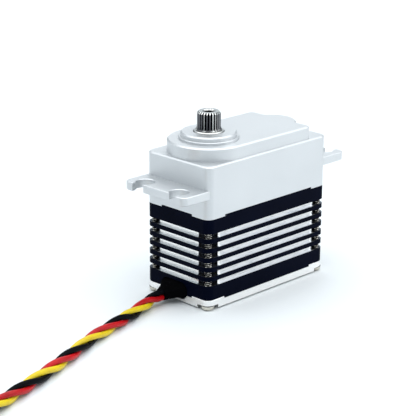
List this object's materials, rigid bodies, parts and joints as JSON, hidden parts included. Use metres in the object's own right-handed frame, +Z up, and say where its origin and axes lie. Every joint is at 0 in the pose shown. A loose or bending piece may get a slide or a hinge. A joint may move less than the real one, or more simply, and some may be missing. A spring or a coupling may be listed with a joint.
{
  "type": "hobby servo motor",
  "caption": "Hobby servo motor with an aluminium case, a grooved black middle section, slotted mounting ears, a splined output shaft and a twisted lead that ends in a plug.",
  "frame": {"origin": "middle of the case on the surface that it stands on, the flat undersides of its case screws", "axes": "+X along the case from the output shaft end, where the lead leaves, to the motor end; +Y across the case; +Z up, along the output shaft"},
  "size_m": [0.153, 0.0394, 0.0433],
  "materials": {
    "silver": "bead-blasted and clear anodised",
    "black_anodised": "black anodised, grooves machined back to bare metal",
    "steel": "machined",
    "dark_steel": "dark plated",
    "brass": "machined",
    "copper": "wound copper wire on steel laminations",
    "magnet": "sintered",
    "black_plastic": "moulded",
    "rubber": "moulded",
    "board_green": "solder mask",
    "red": "insulation",
    "yellow": "insulation",
    "white": "moulded"
  },
  "bodies": {
    "servo_body": {"top_case": "silver", "middle_case": "black_anodised", "bottom_cover": "silver", "case_screw_1": "steel", "case_screw_2": "steel", "case_screw_3": "steel", "case_screw_4": "steel", "upper_bearing_outer_race": "steel", "lower_bearing_outer_race": "steel", "centre_axle_pin": "steel", "second_axle_pin": "steel", "motor_can": "silver", "motor_magnet": "magnet", "motor_end_cap": "black_plastic", "motor_bush": "brass", "motor_screw_1": "steel", "motor_screw_2": "steel", "motor_terminal_1": "brass", "motor_terminal_2": "brass", "potentiometer_body": "black_plastic", "circuit_board": "board_green", "controller_chip": "black_plastic", "driver_chip_1": "black_plastic", "driver_chip_2": "black_plastic", "driver_chip_3": "black_plastic", "driver_chip_4": "black_plastic", "capacitor": "dark_steel", "signal_wire": "yellow", "supply_wire": "red", "ground_wire": "rubber", "strain_relief": "rubber", "servo_lead": "red", "lead_coil": "rubber", "lead_end": "red", "coil_tie": "white", "connector_housing": "black_plastic", "connector_contact_1": "brass", "connector_contact_2": "brass", "connector_contact_3": "brass"},
    "output": {"output_shaft": "steel", "output_gear": "steel", "upper_bearing_inner_race": "steel", "lower_bearing_inner_race": "steel", "potentiometer_shaft": "brass"},
    "upper_ball_cage": {"upper_bearing_balls": "brass"},
    "lower_ball_cage": {"lower_bearing_balls": "brass"},
    "third_gear": {"third_gear_wheel": "steel", "third_gear_pinion": "steel"},
    "second_gear": {"second_gear_wheel": "steel", "second_gear_pinion": "steel"},
    "first_gear": {"first_gear_wheel": "brass", "first_gear_pinion": "steel"},
    "motor_armature": {"motor_pinion": "brass", "motor_shaft": "steel", "motor_rotor": "copper", "commutator": "copper"}
  },
  "joints": [
    {"name": "output_spin", "type": "hinge", "parent": "servo_body", "child": "output", "pos_m": [-0.00977, 0, 0.03], "axis": [0, 0, 1], "range_deg": [-90, 90]},
    {"name": "third_gear_spin", "type": "hinge", "parent": "servo_body", "child": "third_gear", "pos_m": [-0.00017, 0, 0.03], "axis": [0, 0, 1], "range_deg": [-305, 305]},
    {"name": "second_gear_spin", "type": "hinge", "parent": "servo_body", "child": "second_gear", "pos_m": [0.00823, 0, 0.03], "axis": [0, 0, 1], "range_deg": [-855, 855]},
    {"name": "first_gear_spin", "type": "hinge", "parent": "servo_body", "child": "first_gear", "pos_m": [-0.00017, 0, 0.03], "axis": [0, 0, 1], "range_deg": [-3700, 3700]},
    {"name": "motor_spin", "type": "hinge", "parent": "servo_body", "child": "motor_armature", "pos_m": [0.00763, 0, 0.03], "axis": [0, 0, 1], "range_deg": [-15530, 15530]},
    {"name": "upper_cage_spin", "type": "hinge", "parent": "servo_body", "child": "upper_ball_cage", "pos_m": [-0.00977, 0, 0.03], "axis": [0, 0, 1], "range_deg": [-40, 40]},
    {"name": "lower_cage_spin", "type": "hinge", "parent": "servo_body", "child": "lower_ball_cage", "pos_m": [-0.00977, 0, 0.03], "axis": [0, 0, 1], "range_deg": [-40, 40]}
  ],
  "couplings": [
    {"joint": "third_gear_spin", "follows": "output_spin", "ratio": -3.3636},
    {"joint": "second_gear_spin", "follows": "output_spin", "ratio": 9.4793},
    {"joint": "first_gear_spin", "follows": "output_spin", "ratio": -41.077},
    {"joint": "motor_spin", "follows": "output_spin", "ratio": 172.52},
    {"joint": "upper_cage_spin", "follows": "output_spin", "ratio": 0.43556},
    {"joint": "lower_cage_spin", "follows": "output_spin", "ratio": 0.41714}
  ]
}
